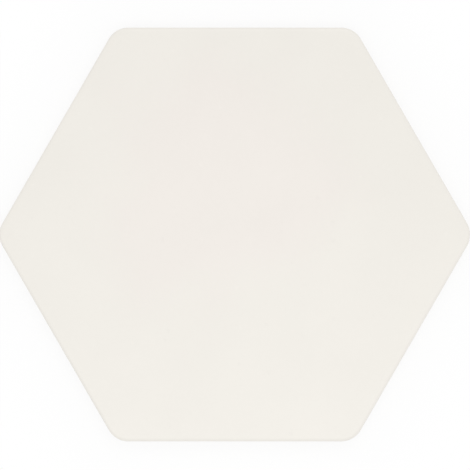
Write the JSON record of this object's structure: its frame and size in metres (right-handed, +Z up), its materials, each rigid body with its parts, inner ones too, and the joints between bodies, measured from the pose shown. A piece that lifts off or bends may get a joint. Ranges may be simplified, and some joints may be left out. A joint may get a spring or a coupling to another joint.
{
  "type": "hexagon floor tile",
  "caption": "Flat hexagonal glazed floor tile with rounded corners, a rolled arris and a honeycomb back that keys into adhesive; laid edge to edge with grout joints.",
  "frame": {"origin": "middle of the plane that the tile's back stands on, under the middle of the glazed face", "axes": "+Z up out of the glazed face; X from corner to corner; two of the six edges run along X, and the picture looks down along -Z with +Y to its top"},
  "size_m": [0.2504, 0.22, 0.009],
  "materials": {
    "glazed_stoneware": "satin"
  },
  "bodies": {
    "root": {"hexagon_tile": "glazed_stoneware"}
  },
  "joints": []
}
